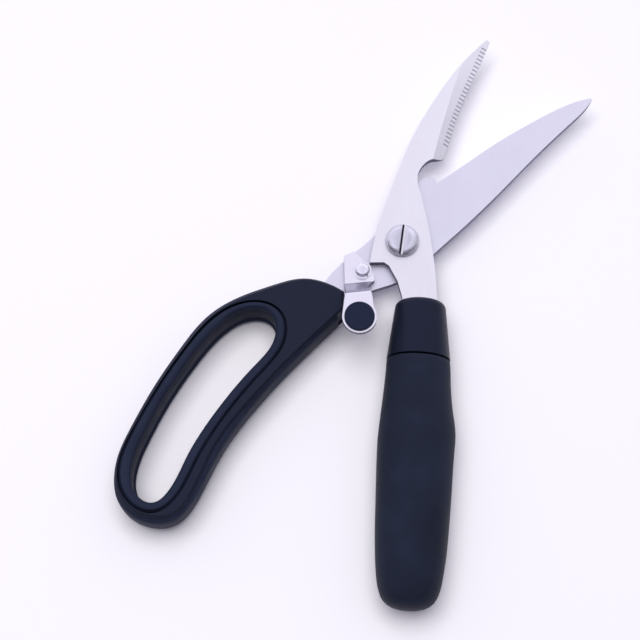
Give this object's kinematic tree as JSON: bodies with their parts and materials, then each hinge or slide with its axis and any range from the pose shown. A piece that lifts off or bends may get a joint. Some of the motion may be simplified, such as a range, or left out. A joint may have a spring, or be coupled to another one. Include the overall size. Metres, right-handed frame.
{
  "type": "kitchen shears",
  "caption": "Spring-opened kitchen shears with a curved notched upper blade, a straight lower blade, a round soft grip, a closed loop handle and a lever that locks them shut.",
  "frame": {"origin": "middle of the outline in X and Y and halfway through the round grip's thickness, as the tool lies open", "axes": "+Y along the round grip towards the blade tips, +Z along the pivot axis, up from the table"},
  "size_m": [0.1966, 0.2454, 0.0276],
  "materials": {
    "blade_steel": "satin ground along the blade, bevels ground finer",
    "fitting_steel": "stamped stainless strip, satin",
    "bright_steel": "turned and polished",
    "handle_plastic": "moulded black, half gloss",
    "soft_rubber": "moulded black thermoplastic rubber, matt",
    "button_plastic": "moulded black, fine grain"
  },
  "bodies": {
    "upper_arm": {"upper_blade": "blade_steel", "grip_core": "handle_plastic", "soft_grip": "soft_rubber"},
    "lower_arm": {"lower_blade": "blade_steel", "pivot_nut": "fitting_steel", "pivot_screw": "bright_steel", "pivot_washer": "fitting_steel", "opening_spring": "fitting_steel", "lever_rivet": "bright_steel", "lever_spring_washer": "fitting_steel", "loop_core": "handle_plastic", "loop_liner": "soft_rubber", "loop_outer_band": "soft_rubber"},
    "lock_lever": {"lock_lever": "fitting_steel", "lever_button": "button_plastic"}
  },
  "joints": [
    {"name": "blade_pivot", "type": "hinge", "parent": "upper_arm", "child": "lower_arm", "pos_m": [0.0162, 0.0282, 0], "axis": [0, 0, 1], "range_deg": [0, 28], "stiffness_Nm_per_rad": 0.6, "springref_deg": -22.92, "deforming": ["opening_spring"]},
    {"name": "lever_pivot", "type": "hinge", "parent": "lower_arm", "child": "lock_lever", "pos_m": [-0.0003, 0.0155, 0], "axis": [0, 0, -1], "range_deg": [0, 33]}
  ]
}
